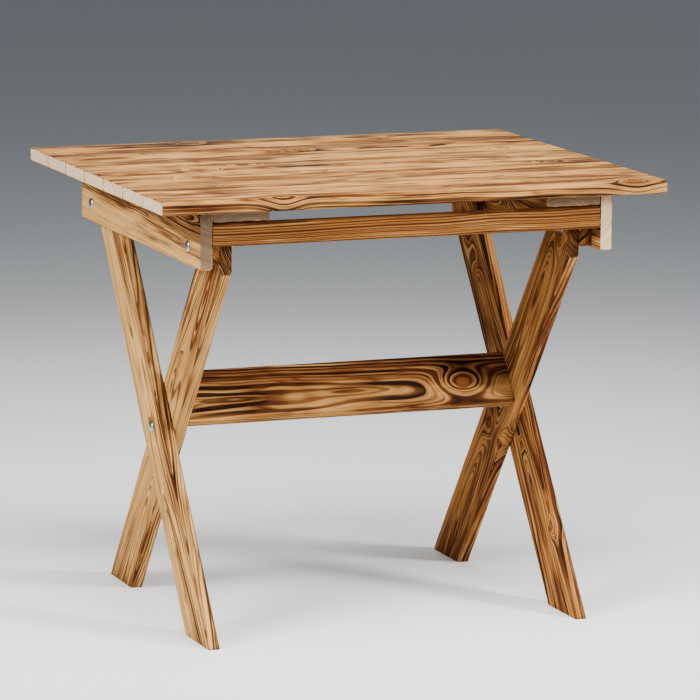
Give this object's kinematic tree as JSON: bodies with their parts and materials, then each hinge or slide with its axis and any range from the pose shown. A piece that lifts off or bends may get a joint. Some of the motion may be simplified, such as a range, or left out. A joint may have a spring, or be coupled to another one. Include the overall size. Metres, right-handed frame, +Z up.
{
  "type": "folding picnic table",
  "caption": "Folding wooden picnic table: butted plank top on aprons and battens, crossed board legs joined by a stretcher, bolted pivots.",
  "frame": {"origin": "on the floor under the middle of the top", "axes": "+X along the top's length, +Y from the front rail to the back, +Z up"},
  "size_m": [0.88, 0.7084, 0.75],
  "materials": {
    "plank_wood": "burnt and brushed pine, satin",
    "frame_wood": "burnt and brushed pine, satin",
    "leg_wood": "burnt and brushed pine, satin",
    "zinc": "bright zinc plate"
  },
  "bodies": {
    "root": {"tabletop_plank_1": "plank_wood", "tabletop_plank_2": "plank_wood", "tabletop_plank_3": "plank_wood", "tabletop_plank_4": "plank_wood", "tabletop_plank_5": "plank_wood", "tabletop_plank_6": "plank_wood", "tabletop_plank_7": "plank_wood", "batten_left": "frame_wood", "apron_left": "frame_wood", "spacer_block_left": "frame_wood", "plank_screw_left_1": "zinc", "plank_screw_left_2": "zinc", "plank_screw_left_3": "zinc", "plank_screw_left_4": "zinc", "plank_screw_left_5": "zinc", "plank_screw_left_6": "zinc", "plank_screw_left_7": "zinc", "rail_screw_left": "zinc", "rear_pivot_left_bolt": "zinc", "rear_pivot_left_packing_washer": "zinc", "front_clamp_left_bolt": "zinc", "front_clamp_left_washer": "zinc", "rear_pivot_left_washer": "zinc", "rear_pivot_left_nut": "zinc", "batten_right": "frame_wood", "apron_right": "frame_wood", "spacer_block_right": "frame_wood", "plank_screw_right_1": "zinc", "plank_screw_right_2": "zinc", "plank_screw_right_3": "zinc", "plank_screw_right_4": "zinc", "plank_screw_right_5": "zinc", "plank_screw_right_6": "zinc", "plank_screw_right_7": "zinc", "rail_screw_right": "zinc", "rear_pivot_right_bolt": "zinc", "rear_pivot_right_packing_washer": "zinc", "front_clamp_right_bolt": "zinc", "front_clamp_right_washer": "zinc", "rear_pivot_right_washer": "zinc", "rear_pivot_right_nut": "zinc", "front_rail": "frame_wood"},
    "outer_legs": {"outer_leg_left": "leg_wood", "crossing_left_bolt": "zinc", "crossing_left_washer": "zinc", "crossing_left_nut": "zinc", "outer_leg_right": "leg_wood", "crossing_right_bolt": "zinc", "crossing_right_washer": "zinc", "crossing_right_nut": "zinc"},
    "inner_legs": {"inner_leg_left": "leg_wood", "stretcher_screw_left_1": "zinc", "stretcher_screw_left_2": "zinc", "inner_leg_right": "leg_wood", "stretcher_screw_right_1": "zinc", "stretcher_screw_right_2": "zinc", "stretcher": "leg_wood"},
    "wing_nut_left": {"front_clamp_left_wing_nut": "zinc"},
    "wing_nut_right": {"front_clamp_right_wing_nut": "zinc"}
  },
  "joints": [
    {"name": "leg_fold", "type": "hinge", "parent": "root", "child": "outer_legs", "pos_m": [0, 0.252, 0.663], "axis": [1, 0, 0], "range_deg": [0, 42]},
    {"name": "leg_crossing", "type": "hinge", "parent": "outer_legs", "child": "inner_legs", "pos_m": [0, 0, 0.318], "axis": [1, 0, 0], "range_deg": [-63.5, 0]},
    {"name": "wing_nut_left_spin", "type": "hinge", "parent": "root", "child": "wing_nut_left", "pos_m": [-0.29, -0.252, 0.663], "axis": [1, 0, 0], "continuous": true},
    {"name": "wing_nut_right_spin", "type": "hinge", "parent": "root", "child": "wing_nut_right", "pos_m": [0.29, -0.252, 0.663], "axis": [1, 0, 0], "continuous": true}
  ],
  "couplings": [
    {"joint": "leg_crossing", "follows": "leg_fold", "ratio": -1.5}
  ]
}
